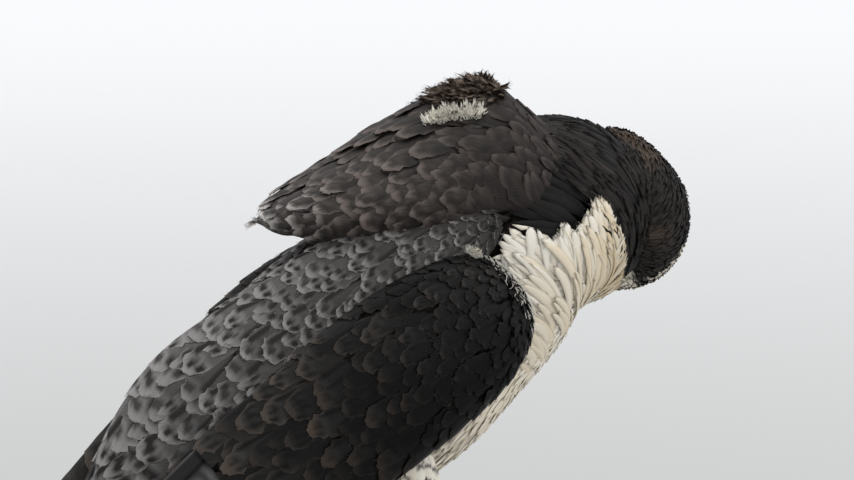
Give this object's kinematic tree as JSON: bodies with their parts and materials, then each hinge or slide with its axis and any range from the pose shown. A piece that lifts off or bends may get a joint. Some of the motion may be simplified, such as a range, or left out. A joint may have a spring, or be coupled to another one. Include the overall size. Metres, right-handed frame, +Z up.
{
  "type": "peregrine falcon",
  "caption": "Life-size peregrine falcon model standing on both feet, body sloped, neck stretched forward, head turned away to its left and bowed, mantle feathers ruffled, wings folded along the tail.",
  "frame": {"origin": "centre of the bounding box, on the floor under the soles", "axes": "+X the way the body faces, +Y the bird's left, +Z up"},
  "size_m": [0.364, 0.1248, 0.2877],
  "materials": {
    "slate_plumage": "slate and brown-black feathers with blue-grey bars",
    "pale_plumage": "cream-white feathers, barred dark on flanks and thighs",
    "bare_yellow_skin": "scaly yellow skin",
    "blue_grey_horn": "smooth horn, darker to the tip",
    "black_horn": "smooth black horn",
    "dark_eye": "wet glossy dark brown"
  },
  "bodies": {
    "root": {"torso": "pale_plumage", "neck": "slate_plumage", "head": "slate_plumage", "cere": "bare_yellow_skin", "bill_upper": "blue_grey_horn", "bill_lower": "blue_grey_horn", "eye_left": "dark_eye", "eye_right": "dark_eye", "mantle": "slate_plumage", "scapulars_left": "slate_plumage", "scapulars_right": "slate_plumage", "wing_left": "slate_plumage", "wing_right": "slate_plumage", "flight_feathers_left": "slate_plumage", "flight_feathers_right": "slate_plumage", "tail": "slate_plumage", "thigh_left": "pale_plumage", "thigh_right": "pale_plumage", "tarsus_left": "bare_yellow_skin", "tarsus_right": "bare_yellow_skin", "foot_left": "bare_yellow_skin", "foot_right": "bare_yellow_skin", "claw_middle_left": "black_horn", "claw_inner_left": "black_horn", "claw_outer_left": "black_horn", "claw_hind_left": "black_horn", "claw_middle_right": "black_horn", "claw_inner_right": "black_horn", "claw_outer_right": "black_horn", "claw_hind_right": "black_horn"}
  },
  "joints": []
}
